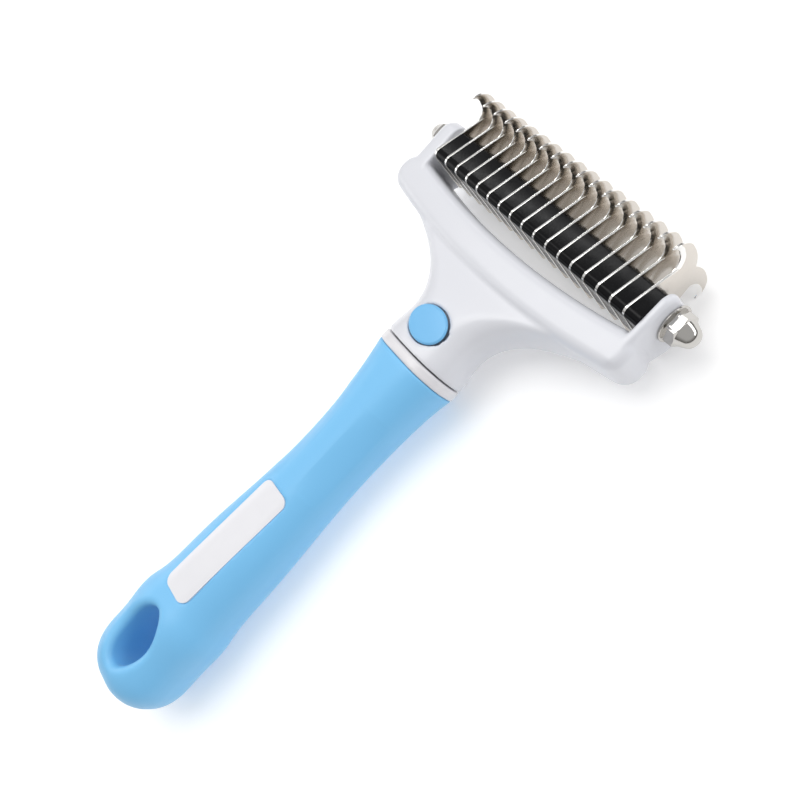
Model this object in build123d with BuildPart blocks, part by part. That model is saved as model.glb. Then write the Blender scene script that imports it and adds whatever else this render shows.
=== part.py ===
from build123d import *
import math
import os

os.makedirs("parts", exist_ok=True)
pieces = {}

# ---- blade pack ----
blade_count = 17
pitch = 4.2
blade_t = 0.6
rake_angle = 3.0
blade_back = 6.5
blade_half_h = 8.7
blade_corner_r = 1.9
blade_waist_h = 5.1
blade_waist_y = 6.9
hook_in_y = 10.1
hook_tip_y = 9.0
hook_tip_h = 12.0
hook_out_y = 13.5
notch_y = 12.1
bevel_land = 0.25
bevel_run = 1.1
spacer_front = 2.4
spacer_nose_r = 3.9
spacer_inset = 0.12
spacer_low_cut = 3.4

# ---- axle, nuts, washers (M4) ----
axle_r = 2.0
bore_clear = 0.1
ear_outer_x = 39.5
washer_r = 4.6
washer_t = 0.6
nut_af = 7.0
nut_hex_h = 3.0
nut_h = 6.4
nut_dome_r = 2.45
nut_bore_depth = 4.3

# ---- head frame ----
bar_half_w = 41.0
bar_front_y = -11.0
bar_front_end_y = -6.6
bar_back_y = -20.8
bar_back_end_y = -16.4
bar_top = 8.4
bar_bottom = -6.6
bar_edge_r = 2.8
bar_corner_r = 4.4
ear_front = 4.2
ear_half_h = 8.7
ear_corner_r = 3.6
ear_edge_r = 1.0
ear_thick_edge_r = 3.2
ear_root_y = -15.0
seam_y = -43.2
neck_centre_z = 0.3
neck_y = [-43.2, -37.5, -32.0, -27.5, -23.5, -20.0, -17.5]
neck_half_w = [11.4, 10.9, 11.4, 14.1, 18.9, 26.0, 33.0]
neck_half_h = [9.5, 9.0, 8.5, 8.0, 7.5, 7.1, 6.8]

# ---- tongue, button ----
tongue_w = 11.0
tongue_h = 7.6
tongue_front_y = -26.0
slide_gap = 0.35
button_y = -36.0
button_half_x = 5.5
button_half_y = 4.5
button_gap = 0.35
button_top_z = 9.6
button_depth = 2.7
button_travel = 1.2

# ---- handle ----
collar_y = -46.3
corner_ratio = 0.93
grip_y = [-46.3, -54.0, -64.0, -78.0, -95.0, -112.0, -128.0, -140.0, -147.5]
grip_half_w = [11.5, 10.2, 9.4, 9.2, 10.2, 11.5, 12.6, 13.1, 13.1]
grip_half_h = [9.6, 9.2, 8.9, 8.9, 9.5, 10.4, 11.2, 11.6, 11.6]
grip_centre_z = [0.3, 0.1, -0.3, -0.5, -0.2, 0.4, 0.8, 0.8, 0.6]
grip_end_y = -158.6
grip_end_steps = [22.0, 42.0, 60.0, 74.0]
grip_end_power = 0.65
sleeve_t = 2.3
core_end_y = -150.0
hole_y = -141.0
hole_len = 18.6
hole_w = 10.0
hole_edge_r = 1.8
liner_t = 1.8
label_y = -107.6
label_len = 36.4
label_w = 9.4
label_r = 2.4
label_t = 0.8
label_gap = 0.1


def station(y, half_w, half_h, centre_z=neck_centre_z):
    """Rounded section across the handle axis at y."""
    plane = Plane(origin=(0, y, centre_z), x_dir=(1, 0, 0), z_dir=(0, -1, 0))
    with BuildSketch(plane) as sk:
        RectangleRounded(2 * half_w, 2 * half_h, corner_ratio * min(half_h, half_w))
    return sk.sketch


# ---- blades ----
with BuildPart() as blade:
    with BuildSketch(Plane.YZ.offset(-blade_t / 2)):
        with BuildLine():
            corner_z = blade_half_h - blade_corner_r
            Line((-blade_back, 0), (-blade_back, corner_z))
            ThreePointArc(
                (-blade_back, corner_z),
                (-blade_back + 0.29 * blade_corner_r, blade_half_h - 0.29 * blade_corner_r),
                (-blade_back + blade_corner_r, blade_half_h),
            )
            Line((-blade_back + blade_corner_r, blade_half_h), (blade_waist_y, blade_waist_h))
            ThreePointArc(
                (blade_waist_y, blade_waist_h),
                (hook_in_y - 0.9, blade_waist_h + 0.9),
                (hook_in_y, blade_waist_h + 3.4),
            )
            ThreePointArc(
                (hook_in_y, blade_waist_h + 3.4),
                (hook_in_y + 0.05, hook_tip_h - 1.8),
                (hook_tip_y, hook_tip_h - 0.25),
            )
            Line((hook_tip_y, hook_tip_h - 0.25), (hook_tip_y + 0.15, hook_tip_h))
            ThreePointArc(
                (hook_tip_y + 0.15, hook_tip_h),
                (hook_out_y - 1.65, hook_tip_h - 1.25),
                (hook_out_y, hook_tip_h - 5.2),
            )
            ThreePointArc(
                (hook_out_y, hook_tip_h - 5.2),
                (hook_out_y - 0.15, 3.2),
                (notch_y, 0),
            )
            mirror(about=Plane.XZ)
        make_face()
        Circle(axle_r + bore_clear, mode=Mode.SUBTRACT)
    extrude(amount=blade_t)
    # ground bevel along the inside of both hooks, on the +X side
    bevel_edges = blade.edges().filter_by(GeomType.CIRCLE).filter_by_position(
        Axis.Y, blade_waist_y, hook_in_y + 0.3
    )
    bevel_edges = bevel_edges.filter_by_position(Axis.X, blade_t / 2, blade_t / 2)
    inner = [e for e in bevel_edges if abs(e.center().Z) > blade_waist_h - 0.5]
    side = blade.faces().sort_by(Axis.X)[-1]
    chamfer(inner, length=bevel_run, length2=blade_t - bevel_land, reference=side)

pack_turn = Location((0, 0, 0), (-rake_angle, 0, 0))
blade_x = [(i - (blade_count - 1) / 2) * pitch for i in range(blade_count)]
for i, x in enumerate(blade_x):
    pieces[f"blade_{i + 1:02d}"] = pack_turn * Pos(x, 0, 0) * blade.part

# ---- spacers ----
spacer_t = pitch - blade_t
top_slope = (blade_waist_h - blade_half_h) / (blade_waist_y + blade_back - blade_corner_r)
with BuildPart() as spacer:
    with BuildSketch(Plane.YZ.offset(-spacer_t / 2)):
        back = -blade_back + spacer_inset
        top = blade_half_h - spacer_inset
        front_top = top + top_slope * (spacer_front + blade_back - blade_corner_r)
        low_top = top + top_slope * (spacer_low_cut - blade_corner_r)
        with BuildLine():
            Polyline(
                (back, top),
                (-blade_back + blade_corner_r, top),
                (spacer_front, front_top),
                (spacer_front + 0.6, 0),
                (spacer_front, -front_top),
                (back + spacer_low_cut, -low_top),
                (back, -top + 1.6 * spacer_low_cut),
                close=True,
            )
        make_face()
        Circle(spacer_nose_r)
        corner = vertices().sort_by_distance((back, top))[0]
        fillet(corner, blade_corner_r - spacer_inset)
        low = vertices().sort_by_distance((back + spacer_low_cut, -low_top))[0]
        fillet(low, 1.2)
        Circle(axle_r + bore_clear, mode=Mode.SUBTRACT)
    extrude(amount=spacer_t)
for i, x in enumerate(blade_x):
    pieces[f"spacer_{i + 1:02d}"] = pack_turn * Pos(x + pitch / 2, 0, 0) * spacer.part

# ---- axle ----
axle_end = ear_outer_x + washer_t + nut_bore_depth - 0.3
with BuildPart() as axle_rod:
    with BuildSketch(Plane.YZ.offset(-axle_end)):
        Circle(axle_r)
    extrude(amount=2 * axle_end)
    chamfer(axle_rod.edges().filter_by(GeomType.CIRCLE), 0.3)
pieces["axle_rod"] = axle_rod.part

# ---- washers and acorn nuts ----
for name, sign in (("right", 1), ("left", -1)):
    face = Plane(origin=(sign * ear_outer_x, 0, 0), x_dir=(0, sign, 0), z_dir=(sign, 0, 0))
    with BuildPart() as washer:
        with BuildSketch(face):
            Circle(washer_r)
            Circle(axle_r + bore_clear, mode=Mode.SUBTRACT)
        extrude(amount=washer_t)
        chamfer(washer.edges().filter_by(GeomType.CIRCLE).group_by(Edge.length)[-1], 0.12)
    pieces[f"washer_{name}"] = washer.part

    with BuildPart() as cap_nut:
        with BuildSketch(face.offset(washer_t)):
            RegularPolygon(nut_af / 2, 6, major_radius=False)
        extrude(amount=nut_h)
        tip = sign * (ear_outer_x + washer_t)
        with BuildSketch(Plane(origin=(tip, 0, 0), x_dir=(sign, 0, 0), z_dir=(0, 0, 1))):
            with BuildLine():
                Polyline(
                    (0, 0),
                    (0, nut_af / 2 + 0.15),
                    (0.35, nut_af / 2 + 0.6),
                    (nut_hex_h - 0.4, nut_af / 2 + 0.6),
                    (nut_hex_h, nut_af / 2 - 0.1),
                    (nut_h - 1.3, nut_dome_r),
                )
                ThreePointArc(
                    (nut_h - 1.3, nut_dome_r),
                    (nut_h - 0.35, nut_dome_r - 0.9),
                    (nut_h, 0),
                )
                Line((nut_h, 0), (0, 0))
            make_face()
        revolve(axis=Axis((tip, 0, 0), (1, 0, 0)), mode=Mode.INTERSECT)
        with BuildSketch(face.offset(washer_t)):
            Circle(axle_r + bore_clear)
        extrude(amount=nut_bore_depth, mode=Mode.SUBTRACT)
    pieces[f"cap_nut_{name}"] = cap_nut.part

# ---- head frame ----
left_ear_inner = blade_x[0] - blade_t / 2
right_ear_inner = blade_x[-1] + blade_t / 2 + spacer_t
ears = []
for inner_x, outer_x, edge_r in (
    (left_ear_inner, -ear_outer_x, ear_thick_edge_r),
    (right_ear_inner, ear_outer_x, ear_edge_r),
):
    with BuildPart() as ear:
        with BuildSketch(Plane.YZ.offset(inner_x)):
            Polygon(
                (ear_root_y, -bar_edge_r),
                (ear_root_y, bar_top),
                (ear_front, bar_top),
                (ear_front, -ear_half_h),
                (-4.5, -ear_half_h),
                align=None,
            )
            front = vertices().group_by(Axis.X)[-1]
            fillet(front, ear_corner_r)
            lower = vertices().sort_by_distance((-4.5, -ear_half_h))[0]
            fillet(lower, ear_corner_r)
        extrude(amount=outer_x - inner_x)
        rim = ear.faces().sort_by(Axis.X)[-1 if outer_x > 0 else 0]
        fillet(rim.edges().filter_by_position(Axis.Y, -12.0, ear_front), edge_r)
    ears.append(ear.part)

with BuildPart() as head_frame:
    # thick bar with a hollowed front edge and rounded ends
    with BuildSketch(Plane.XY.offset(bar_bottom)):
        with BuildLine():
            ThreePointArc(
                (-bar_half_w, bar_front_end_y), (0, bar_front_y), (bar_half_w, bar_front_end_y)
            )
            Line((bar_half_w, bar_front_end_y), (bar_half_w, bar_back_end_y))
            ThreePointArc(
                (bar_half_w, bar_back_end_y), (0, bar_back_y), (-bar_half_w, bar_back_end_y)
            )
            Line((-bar_half_w, bar_back_end_y), (-bar_half_w, bar_front_end_y))
        make_face()
        fillet(vertices(), bar_corner_r)
    extrude(amount=bar_top - bar_bottom)
    fillet(head_frame.edges().group_by(Axis.Z)[-1], bar_edge_r)
    fillet(head_frame.edges().group_by(Axis.Z)[0], bar_edge_r)

    for ear_part in ears:
        add(ear_part)
    # neck, from the seam out to the bar
    neck = [station(y, w, h) for y, w, h in zip(neck_y, neck_half_w, neck_half_h)]
    loft(sections=neck)
    # bore for the axle
    with BuildSketch(Plane.YZ.offset(-ear_outer_x - 1)):
        Circle(axle_r + bore_clear)
    extrude(amount=2 * ear_outer_x + 2, mode=Mode.SUBTRACT)
    # socket for the tongue
    with BuildSketch(Plane(origin=(0, seam_y, neck_centre_z), x_dir=(1, 0, 0), z_dir=(0, 1, 0))):
        RectangleRounded(tongue_w + 2 * slide_gap, tongue_h + 2 * slide_gap, 1.2)
    extrude(amount=tongue_front_y + 0.6 - seam_y, mode=Mode.SUBTRACT)
    # pocket for the button
    pocket_floor = button_top_z - button_depth - button_travel - 0.2
    with BuildSketch(Plane.XY.offset(pocket_floor)):
        with Locations((0, button_y)):
            Ellipse(button_half_x + button_gap, button_half_y + button_gap)
    extrude(amount=6, mode=Mode.SUBTRACT)
pieces["head_frame"] = head_frame.part

# ---- button ----
with BuildPart() as button:
    with BuildSketch(Plane.XY.offset(button_top_z - button_depth)):
        with Locations((0, button_y)):
            Ellipse(button_half_x, button_half_y)
    extrude(amount=button_depth)
    fillet(button.edges().group_by(Axis.Z)[-1], 0.6)
pieces["button"] = button.part

# ---- handle outline, its inner space and the core ----
end_steps = [math.radians(angle) for angle in grip_end_steps]
end_reach = grip_y[-1] - grip_end_y
grip_stations = list(zip(grip_y, grip_half_w, grip_half_h, grip_centre_z))
for a in end_steps:
    shrink = math.cos(a) ** grip_end_power
    grip_stations.append(
        (
            grip_y[-1] - end_reach * math.sin(a),
            grip_half_w[-1] * shrink,
            grip_half_h[-1] * shrink,
            grip_centre_z[-1],
        )
    )


def inset_stations(inset, last_y):
    """Grip sections drawn in by inset, down to last_y."""
    return [
        station(y, w - inset, h - inset, z) for y, w, h, z in grip_stations if y > last_y
    ]


with BuildPart() as core_space:
    loft(sections=inset_stations(sleeve_t, core_end_y))
    with BuildSketch(Plane.XY.offset(-20)):
        with Locations((0, hole_y)):
            Ellipse(hole_w / 2 + liner_t, hole_len / 2 + liner_t)
    extrude(amount=40, mode=Mode.SUBTRACT)

with BuildPart() as handle_core:
    loft(sections=inset_stations(sleeve_t + 0.05, core_end_y))
    with BuildSketch(Plane.XY.offset(-20)):
        with Locations((0, hole_y)):
            Ellipse(hole_w / 2 + liner_t + 0.05, hole_len / 2 + liner_t + 0.05)
    extrude(amount=40, mode=Mode.SUBTRACT)
    # collar
    loft(
        sections=[
            station(seam_y - slide_gap, neck_half_w[0] + 0.1, neck_half_h[0] + 0.1),
            station(collar_y, grip_half_w[0] + 0.1, grip_half_h[0] + 0.1),
        ]
    )
    # tongue
    tongue_face = Plane(origin=(0, collar_y, neck_centre_z), x_dir=(1, 0, 0), z_dir=(0, 1, 0))
    with BuildSketch(tongue_face):
        RectangleRounded(tongue_w, tongue_h, 1.0)
    extrude(amount=tongue_front_y - collar_y)
pieces["handle_core"] = handle_core.part

# ---- label plate and its recess ----
with BuildPart() as label_bed:
    loft(sections=inset_stations(label_t, core_end_y))

with BuildPart() as label_recess:
    with BuildSketch(Plane.XY):
        with Locations((0, label_y)):
            RectangleRounded(label_w + 2 * label_gap, label_len + 2 * label_gap, label_r)
    extrude(amount=20)
    add(label_bed.part, mode=Mode.SUBTRACT)

with BuildPart() as label_plate:
    loft(sections=inset_stations(0.02, core_end_y))
    with BuildSketch(Plane.XY):
        with Locations((0, label_y)):
            RectangleRounded(label_w, label_len, label_r)
    extrude(amount=20, mode=Mode.INTERSECT)
    add(label_bed.part, mode=Mode.SUBTRACT)
pieces["label_plate"] = label_plate.part

# ---- grip sleeve ----
with BuildPart() as grip_sleeve:
    loft(sections=inset_stations(0, grip_end_y))
    end_rim = grip_sleeve.faces().sort_by(Axis.Y)[0].edges()
    fillet(end_rim, 1.0)
    with BuildSketch(Plane.XY.offset(-20)):
        with Locations((0, hole_y)):
            Ellipse(hole_w / 2, hole_len / 2)
    extrude(amount=40, mode=Mode.SUBTRACT)
    hole_edges = grip_sleeve.edges().filter_by_position(Axis.Y, hole_y - 10, hole_y + 10)
    hole_edges = hole_edges.filter_by_position(Axis.X, -hole_w / 2, hole_w / 2)
    rims = [e for e in hole_edges if abs(e.center().Z) > 8 and e.length < 200]
    fillet(rims, hole_edge_r)
    add(core_space.part, mode=Mode.SUBTRACT)
    add(label_recess.part, mode=Mode.SUBTRACT)
pieces["grip_sleeve"] = grip_sleeve.part

# ---- the origin moves from the axle to the middle of the whole rake ----
middle = Compound(list(pieces.values())).bounding_box().center()
for name, piece in pieces.items():
    placed = Pos(-middle.X, -middle.Y, -middle.Z) * piece
    placed.label = name
    export_step(placed, f"parts/{name}.step")
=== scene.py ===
import math

import bmesh
import bpy
from mathutils import Matrix, Vector


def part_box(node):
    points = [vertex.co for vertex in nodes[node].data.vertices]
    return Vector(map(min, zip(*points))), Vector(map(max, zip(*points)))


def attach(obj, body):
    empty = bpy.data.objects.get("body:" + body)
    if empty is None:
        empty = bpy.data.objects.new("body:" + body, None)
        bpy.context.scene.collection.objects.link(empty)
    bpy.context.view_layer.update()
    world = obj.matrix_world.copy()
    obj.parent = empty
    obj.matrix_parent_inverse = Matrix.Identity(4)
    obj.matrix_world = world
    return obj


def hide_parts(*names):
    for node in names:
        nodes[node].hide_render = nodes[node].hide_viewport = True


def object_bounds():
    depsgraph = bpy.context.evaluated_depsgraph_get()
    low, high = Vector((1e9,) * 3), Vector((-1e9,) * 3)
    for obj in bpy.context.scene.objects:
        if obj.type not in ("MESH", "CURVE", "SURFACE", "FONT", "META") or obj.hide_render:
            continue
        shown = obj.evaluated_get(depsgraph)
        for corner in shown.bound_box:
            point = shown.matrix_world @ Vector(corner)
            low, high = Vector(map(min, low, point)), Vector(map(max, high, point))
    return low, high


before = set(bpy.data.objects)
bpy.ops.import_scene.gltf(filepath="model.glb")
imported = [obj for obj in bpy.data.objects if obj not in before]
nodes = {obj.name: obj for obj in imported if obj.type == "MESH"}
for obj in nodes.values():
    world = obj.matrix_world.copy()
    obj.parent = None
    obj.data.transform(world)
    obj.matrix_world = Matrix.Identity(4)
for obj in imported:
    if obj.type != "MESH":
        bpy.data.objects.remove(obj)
cad_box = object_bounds()

# ---- the camera ----
# A short tele view from above and to the right of the blade pack, set out
# from the middle of the axle.
axle_low, axle_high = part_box("axle_rod")
axle = (axle_low + axle_high) / 2
camera_data = bpy.data.cameras.new("camera")
camera_data.sensor_width = 36.0
camera_data.lens = 40.755
camera_data.clip_start = 0.01
camera = bpy.data.objects.new("camera", camera_data)
camera.matrix_world = Matrix.Translation(axle) @ Matrix(
    (
        (0.55296, -0.63049, 0.54471, 0.120904),
        (0.67287, 0.72348, 0.15435, -0.020788),
        (-0.49140, 0.28118, 0.82430, 0.179094),
        (0.0, 0.0, 0.0, 1.0),
    )
)
bpy.context.scene.collection.objects.link(camera)
bpy.context.scene.camera = camera

# ---- the light ----
# A white room with one large soft panel overhead, a long one behind the blades,
# a weaker one low on the handle side, and a narrow strip that glints on the spacers.
bpy.context.scene.view_settings.view_transform = "Standard"
world = bpy.data.worlds.new("room")
world.use_nodes = True
wall = world.node_tree
room = wall.nodes["Background"]
room.inputs["Strength"].default_value = 0.62
facing = wall.nodes.new("ShaderNodeTexCoord")
upward = wall.nodes.new("ShaderNodeSeparateXYZ")
wall.links.new(facing.outputs["Generated"], upward.inputs["Vector"])
wall_shade = wall.nodes.new("ShaderNodeValToRGB")
skirting, ceiling = wall_shade.color_ramp.elements
skirting.position = 0.10
skirting.color = (0.30, 0.29, 0.28, 1.0)
ceiling.position = 0.55
ceiling.color = (1.0, 1.0, 1.0, 1.0)
wall.links.new(upward.outputs["Z"], wall_shade.inputs["Fac"])
wall.links.new(wall_shade.outputs["Color"], room.inputs["Color"])
bpy.context.scene.world = world


def soft_panel(name, place, aim, width, height, power, tint):
    panel = bpy.data.lights.new(name, "AREA")
    panel.shape = "RECTANGLE"
    panel.size = width
    panel.size_y = height
    panel.energy = power
    panel.color = tint
    lamp = bpy.data.objects.new(name, panel)
    lamp.location = place
    lamp.rotation_euler = (Vector(aim) - Vector(place)).to_track_quat("-Z", "Y").to_euler()
    bpy.context.scene.collection.objects.link(lamp)


soft_panel("panel_overhead", (-0.12, 0.10, 0.60), (0, 0, 0), 0.45, 0.45, 1.75, (1.0, 0.99, 0.97))
soft_panel("panel_behind", (0.30, 0.50, 0.22), (0, 0.06, 0), 0.50, 0.16, 0.8, (0.97, 0.98, 1.0))
soft_panel("panel_low", (-0.45, -0.25, 0.20), (0, -0.04, 0), 0.30, 0.30, 0.5, (1.0, 1.0, 1.0))
soft_panel("panel_strip", (-0.33, 0.44, 0.337), (0, 0.072, 0), 0.34, 0.02, 0.16, (1.0, 1.0, 1.0))

# ---- the floor ----
# A plain, nearly white matte sheet just under the lowest points of the rake.
floor_half_size = 2.0
floor_gap = 0.0002
floor_mesh = bpy.data.meshes.new("floor")
sheet = bmesh.new()
bmesh.ops.create_grid(sheet, x_segments=1, y_segments=1, size=floor_half_size)
bmesh.ops.translate(sheet, verts=sheet.verts, vec=(0, 0, cad_box[0][2] - floor_gap))
sheet.to_mesh(floor_mesh)
sheet.free()
floor = bpy.data.objects.new("floor", floor_mesh)
bpy.context.scene.collection.objects.link(floor)
floor_paint = bpy.data.materials.new("floor_paper")
floor_paint.use_nodes = True
paper = floor_paint.node_tree.nodes["Principled BSDF"]
paper.inputs["Roughness"].default_value = 0.9
paper.inputs["Specular IOR Level"].default_value = 0.1
grain = floor_paint.node_tree.nodes.new("ShaderNodeTexNoise")
grain.inputs["Scale"].default_value = 40.0
tone = floor_paint.node_tree.nodes.new("ShaderNodeMix")
tone.data_type = "RGBA"
tone.inputs["A"].default_value = (0.93, 0.93, 0.935, 1.0)
tone.inputs["B"].default_value = (0.95, 0.95, 0.955, 1.0)
paper.inputs["Emission Color"].default_value = (1.0, 1.0, 1.0, 1.0)
paper.inputs["Emission Strength"].default_value = 0.22
floor_paint.node_tree.links.new(grain.outputs["Fac"], tone.inputs["Factor"])
floor_paint.node_tree.links.new(tone.outputs["Result"], paper.inputs["Base Color"])
floor_mesh.materials.append(floor_paint)

# ---- the grip sleeve ----
# Sky blue soft-touch rubber moulded over the handle core, satin, with a faint
# moulded crease on each flank of the waist and a rounded hang hole.


def moulded(name, low, high, blotch, rough, grain_scale, grain_depth, coat, sheen=0.0, shine=0.5):
    """Moulded plastic or rubber: slow colour drift, fine grain, patchy gloss."""
    paint = bpy.data.materials.new(name)
    paint.use_nodes = True
    tree = paint.node_tree
    skin = tree.nodes["Principled BSDF"]
    skin.inputs["Specular IOR Level"].default_value = shine
    skin.inputs["Coat Weight"].default_value = coat
    skin.inputs["Coat Roughness"].default_value = 0.12
    skin.inputs["Sheen Weight"].default_value = sheen
    skin.inputs["Sheen Roughness"].default_value = 0.45
    place = tree.nodes.new("ShaderNodeTexCoord")
    drift = tree.nodes.new("ShaderNodeTexNoise")
    drift.inputs["Scale"].default_value = blotch
    drift.inputs["Detail"].default_value = 3.0
    tree.links.new(place.outputs["Object"], drift.inputs["Vector"])
    colour = tree.nodes.new("ShaderNodeMix")
    colour.data_type = "RGBA"
    colour.inputs["A"].default_value = (*low, 1.0)
    colour.inputs["B"].default_value = (*high, 1.0)
    tree.links.new(drift.outputs["Fac"], colour.inputs["Factor"])
    tree.links.new(colour.outputs["Result"], skin.inputs["Base Color"])
    gloss = tree.nodes.new("ShaderNodeTexNoise")
    gloss.inputs["Scale"].default_value = blotch * 4.0
    gloss.inputs["Detail"].default_value = 4.0
    tree.links.new(place.outputs["Object"], gloss.inputs["Vector"])
    spread = tree.nodes.new("ShaderNodeMapRange")
    spread.inputs["From Min"].default_value = 0.3
    spread.inputs["From Max"].default_value = 0.7
    spread.inputs["To Min"].default_value = rough[0]
    spread.inputs["To Max"].default_value = rough[1]
    tree.links.new(gloss.outputs["Fac"], spread.inputs["Value"])
    tree.links.new(spread.outputs["Result"], skin.inputs["Roughness"])
    fine = tree.nodes.new("ShaderNodeTexNoise")
    fine.inputs["Scale"].default_value = grain_scale
    fine.inputs["Detail"].default_value = 2.0
    tree.links.new(place.outputs["Object"], fine.inputs["Vector"])
    relief = tree.nodes.new("ShaderNodeBump")
    relief.inputs["Strength"].default_value = 0.35
    relief.inputs["Distance"].default_value = grain_depth
    tree.links.new(fine.outputs["Fac"], relief.inputs["Height"])
    tree.links.new(relief.outputs["Normal"], skin.inputs["Normal"])
    return paint


def cad_copy(node, name):
    """A joined copy of a CAD node's loose triangles, as a new piece."""
    copy = bmesh.new()
    copy.from_mesh(nodes[node].data)
    bmesh.ops.remove_doubles(copy, verts=copy.verts, dist=1e-6)
    shape = bpy.data.meshes.new(name)
    copy.to_mesh(shape)
    copy.free()
    piece = bpy.data.objects.new(name, shape)
    bpy.context.scene.collection.objects.link(piece)
    return piece


def remould(piece, cell, rounds, ease):
    """Even quads over the piece, with its sharp steps eased as a mould leaves them."""
    blocks = piece.modifiers.new("even_quads", "REMESH")
    blocks.mode = "VOXEL"
    blocks.voxel_size = cell
    eased = piece.modifiers.new("eased", "SMOOTH")
    eased.factor = ease
    eased.iterations = rounds
    graph = bpy.context.evaluated_depsgraph_get()
    graph.update()
    baked = bpy.data.meshes.new_from_object(piece.evaluated_get(graph))
    piece.modifiers.clear()
    piece.data = baked
    baked.shade_smooth()


grip = cad_copy("grip_sleeve", "grip_rubber")
remould(grip, cell=0.00045, rounds=3, ease=0.5)
panel_start = axle.y - 0.0600
panel_end = axle.y - 0.0865
waist_height = axle.z - 0.0004
waist_inside = 0.0079
upper_ridge = math.radians(72.0)
lower_ridge = math.radians(26.0)
crease_depth = 0.00045
for skin_point in grip.data.vertices:
    place = skin_point.co
    along = (place.y - panel_start) / (panel_end - panel_start)
    out = Vector((place.x, 0.0, place.z - waist_height))
    if not 0.0 < along < 1.0 or out.length < waist_inside or out.z < 0.0:
        continue
    turn = math.atan2(out.z, abs(out.x))
    across = (turn - lower_ridge) / (upper_ridge - lower_ridge)
    if 0.0 < across < 1.0:
        dip = crease_depth * math.sin(math.pi * along) ** 0.7 * 4 * across * (1 - across)
        skin_point.co = place - out.normalized() * dip
grip_paint = moulded(
    "grip_blue", low=(0.185, 0.525, 0.86), high=(0.195, 0.54, 0.875), blotch=60.0,
    rough=(0.36, 0.46), grain_scale=2600.0, grain_depth=0.00002, coat=0.0, sheen=0.08,
)
grip.data.materials.append(grip_paint)
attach(grip, "handle")
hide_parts("grip_sleeve")

# ---- the label plate ----
# A plain white moulded plastic plate with rounded corners, let into the top of
# the grip.
label = cad_copy("label_plate", "label_plain")
label.data.shade_smooth()
label.data.set_sharp_from_angle(angle=math.radians(35))
label_paint = moulded(
    "label_white", low=(0.76, 0.76, 0.80), high=(0.80, 0.80, 0.83), blotch=90.0,
    rough=(0.32, 0.42), grain_scale=1800.0, grain_depth=0.00001, coat=0.1,
)
label.data.materials.append(label_paint)
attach(label, "handle")
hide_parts("label_plate")

# ---- the handle core and its collar ----
# White moulded core: a collar shows between the grip and the head, and the
# tongue that the head slides over shows when the head is drawn off.
core = cad_copy("handle_core", "core_moulding")
remould(core, cell=0.00045, rounds=3, ease=0.5)
core_paint = moulded(
    "core_white", low=(0.72, 0.71, 0.735), high=(0.735, 0.725, 0.75), blotch=70.0,
    rough=(0.30, 0.38), grain_scale=1500.0, grain_depth=0.00001, coat=0.3,
)
core.data.materials.append(core_paint)
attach(core, "handle")
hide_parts("handle_core")

# ---- the head frame ----
# One glossy white moulding: the neck, the cross bar with a soft step where the
# neck runs into it, and the two ears that hold the axle.
head = cad_copy("head_frame", "head_moulding")
remould(head, cell=0.00042, rounds=4, ease=0.5)
head_paint = moulded(
    "head_white", low=(0.69, 0.70, 0.745), high=(0.70, 0.71, 0.755), blotch=55.0,
    rough=(0.30, 0.38), grain_scale=1400.0, grain_depth=0.00001, coat=0.25,
)
head.data.materials.append(head_paint)
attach(head, "head")
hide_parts("head_frame")

# ---- the release button ----
# Oval blue moulded push button in a pocket of the neck, slightly crowned; its
# hidden skirt tapers inwards, so that it clears the pocket when pressed.
button_spread = (1.04, 1.02, 1.0, 1.0)
skirt_taper = 0.16
skirt_lift = 0.0008
button = cad_copy("button", "button_cap")
button_low, button_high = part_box("button")
button_middle = (button_low + button_high) / 2
button.data.transform(
    Matrix.Translation(button_middle)
    @ Matrix.Diagonal(button_spread)
    @ Matrix.Translation(-button_middle)
)
for skirt_point in button.data.vertices:
    if skirt_point.co.z < button_middle.z:
        inward = (button_middle - skirt_point.co) * skirt_taper
        skirt_point.co += Vector((inward.x, inward.y, skirt_lift))
button.data.shade_smooth()
button.data.set_sharp_from_angle(angle=math.radians(30))
button_paint = moulded(
    "button_blue", low=(0.16, 0.47, 0.80), high=(0.18, 0.50, 0.83), blotch=120.0,
    rough=(0.30, 0.40), grain_scale=2200.0, grain_depth=0.00001, coat=0.1,
)
button.data.materials.append(button_paint)
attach(button, "release_button")
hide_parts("button")

# ---- the blades ----
# Stamped and polished stainless sheet, two hooks each, ground to a bevel along
# the inside of the hooks; the rims are smoother than the rolled faces, and their lighter tone is
# a painted highlight.


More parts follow.
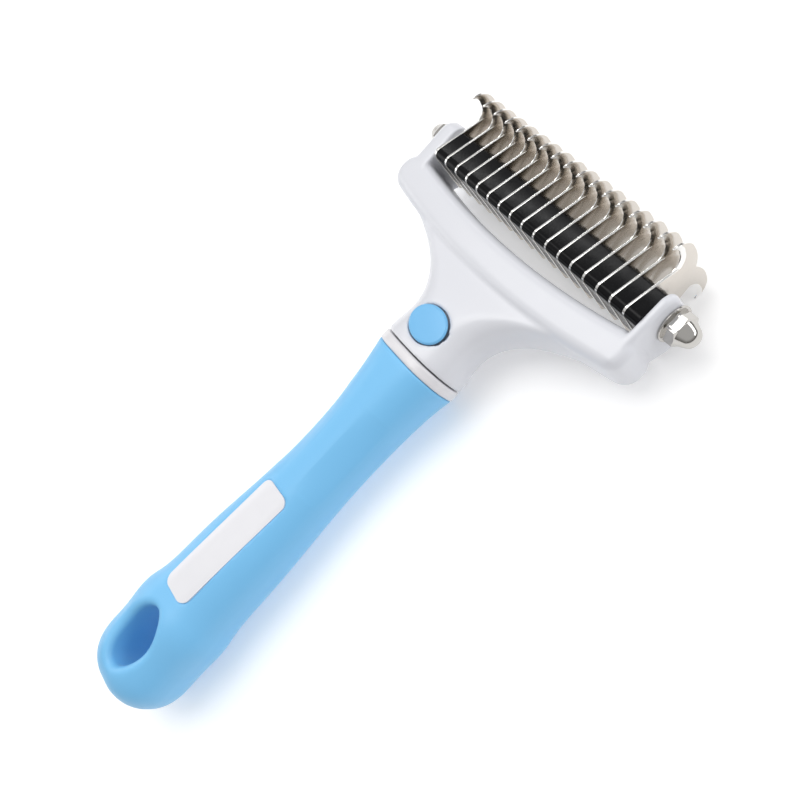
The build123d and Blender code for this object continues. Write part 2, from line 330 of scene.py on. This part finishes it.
def steel(name, tone, rough, brush, depth, anisotropy):
    """Polished or brushed steel with fine marks drawn along one direction."""
    metal = bpy.data.materials.new(name)
    metal.use_nodes = True
    tree = metal.node_tree
    skin = tree.nodes["Principled BSDF"]
    skin.inputs["Metallic"].default_value = 1.0
    skin.inputs["Anisotropic"].default_value = anisotropy
    place = tree.nodes.new("ShaderNodeTexCoord")
    stretch = tree.nodes.new("ShaderNodeMapping")
    stretch.inputs["Scale"].default_value = brush
    tree.links.new(place.outputs["Object"], stretch.inputs["Vector"])
    marks = tree.nodes.new("ShaderNodeTexNoise")
    marks.inputs["Scale"].default_value = 1.0
    marks.inputs["Detail"].default_value = 2.0
    tree.links.new(stretch.outputs["Vector"], marks.inputs["Vector"])
    colour = tree.nodes.new("ShaderNodeMix")
    colour.data_type = "RGBA"
    colour.inputs["A"].default_value = (*[c * 0.94 for c in tone], 1.0)
    colour.inputs["B"].default_value = (*tone, 1.0)
    tree.links.new(marks.outputs["Fac"], colour.inputs["Factor"])
    tree.links.new(colour.outputs["Result"], skin.inputs["Base Color"])
    spread = tree.nodes.new("ShaderNodeMapRange")
    spread.inputs["From Min"].default_value = 0.3
    spread.inputs["From Max"].default_value = 0.7
    spread.inputs["To Min"].default_value = rough[0]
    spread.inputs["To Max"].default_value = rough[1]
    tree.links.new(marks.outputs["Fac"], spread.inputs["Value"])
    tree.links.new(spread.outputs["Result"], skin.inputs["Roughness"])
    relief = tree.nodes.new("ShaderNodeBump")
    relief.inputs["Strength"].default_value = 0.05
    relief.inputs["Distance"].default_value = depth
    tree.links.new(marks.outputs["Fac"], relief.inputs["Height"])
    tree.links.new(relief.outputs["Normal"], skin.inputs["Normal"])
    return metal


blade_face = steel(
    "blade_face", tone=(0.68, 0.64, 0.59), rough=(0.17, 0.24),
    brush=(300.0, 300.0, 1200.0), depth=0.000004, anisotropy=0.2,
)
# Same steel as the faces with a lighter tone: a painted highlight on the rims, together with a
# real smoother polish.
blade_rim_painted_highlight = steel(
    "blade_rim_painted_highlight", tone=(0.93, 0.92, 0.90), rough=(0.10, 0.18),
    brush=(900.0, 900.0, 900.0), depth=0.00001, anisotropy=0.0,
)
flat_angle = math.radians(1.0)
rim_angle = 0.9
rim_round = 0.00007
face_squareness = 0.985
blade_names = sorted(n for n in nodes if n.startswith("blade_"))
for blade_name in blade_names:
    blade = cad_copy(blade_name, f"steel_{blade_name}")
    blade.data.materials.append(blade_face)
    blade.data.materials.append(blade_rim_painted_highlight)
    work = bmesh.new()
    work.from_mesh(blade.data)
    bmesh.ops.dissolve_limit(work, angle_limit=flat_angle, verts=work.verts, edges=work.edges)
    rims = [e for e in work.edges if len(e.link_faces) == 2 and e.calc_face_angle() > rim_angle]
    bmesh.ops.bevel(
        work, geom=rims, offset=rim_round, offset_type="OFFSET", affect="EDGES",
        segments=2, profile=0.5, material=-1, clamp_overlap=True,
    )
    bmesh.ops.triangulate(work, faces=work.faces)
    for face in work.faces:
        # Faces that are not square to the blade take the rim steel with its painted highlight.
        face.material_index = 0 if abs(face.normal.x) > face_squareness else 1
        face.smooth = True
    work.to_mesh(blade.data)
    work.free()
    blade.data.set_sharp_from_angle(angle=math.radians(18))
    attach(blade, "head")
    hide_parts(blade_name)

# ---- the spacers ----
# Glossy black moulded blocks threaded on the axle between the blades, with a
# slightly crowned top.
slices = 14
crown_half = 0.0036
crown_rise = 0.00011
crown_back = 0.0009
top_level = axle.z + 0.0044
spacer_paint = moulded(
    "spacer_black", low=(0.002, 0.002, 0.0025), high=(0.004, 0.004, 0.005), blotch=150.0,
    rough=(0.14, 0.20), grain_scale=1500.0, grain_depth=0.00001, coat=0.0, shine=0.15,
)
spacer_names = sorted(n for n in nodes if n.startswith("spacer_"))
for spacer_name in spacer_names:
    spacer = cad_copy(spacer_name, f"black_{spacer_name}")
    low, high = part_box(spacer_name)
    block = bmesh.new()
    block.from_mesh(spacer.data)
    bmesh.ops.dissolve_limit(block, angle_limit=flat_angle, verts=block.verts, edges=block.edges)
    for cut in range(1, slices):
        slice_y = low.y + (high.y - low.y) * cut / slices
        bmesh.ops.bisect_plane(
            block, geom=block.verts[:] + block.edges[:] + block.faces[:],
            plane_co=(0, slice_y, 0), plane_no=(0, 1, 0), dist=1e-6,
        )
    for corner in block.verts:
        across = (corner.co.y - axle.y + crown_back) / crown_half
        if corner.co.z > top_level and abs(across) < 1.0:
            corner.co.z += crown_rise * (1.0 - across * across)
    bmesh.ops.triangulate(block, faces=[f for f in block.faces if len(f.verts) > 4])
    block.to_mesh(spacer.data)
    block.free()
    spacer.data.shade_smooth()
    spacer.data.set_sharp_from_angle(angle=math.radians(30))
    spacer.data.materials.append(spacer_paint)
    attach(spacer, "head")
    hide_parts(spacer_name)

# ---- the axle ----
# Plain steel rod through the ears, blades and spacers, held by the nuts and
# hidden between them.
axle_piece = cad_copy("axle_rod", "axle_steel_rod")
axle_piece.data.shade_smooth()
axle_piece.data.set_sharp_from_angle(angle=math.radians(30))
axle_piece.data.materials.append(
    steel(
        "axle_steel", tone=(0.60, 0.60, 0.60), rough=(0.25, 0.35),
        brush=(200.0, 1500.0, 1500.0), depth=0.00001, anisotropy=0.2,
    )
)
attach(axle_piece, "head")
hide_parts("axle_rod")

# ---- the washers and acorn nuts ----
# Bright plated steel: a flat washer against each ear and a turned acorn nut
# with a hexagon, a cone and a rounded cap.
plating = steel(
    "bright_plating", tone=(0.55, 0.535, 0.51), rough=(0.06, 0.14),
    brush=(350.0, 350.0, 350.0), depth=0.00001, anisotropy=0.0,
)
edge_round = 0.00012
for hardware in ("washer_left", "washer_right", "cap_nut_left", "cap_nut_right"):
    metal_piece = cad_copy(hardware, f"plated_{hardware}")
    metal_piece.data.shade_smooth()
    metal_piece.data.set_sharp_from_angle(angle=math.radians(24))
    rounded = metal_piece.modifiers.new("worn_edges", "BEVEL")
    rounded.width = edge_round
    rounded.segments = 2
    rounded.limit_method = "ANGLE"
    rounded.angle_limit = math.radians(28)
    rounded.harden_normals = True
    metal_piece.data.materials.append(plating)
    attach(metal_piece, "head")
    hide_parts(hardware)
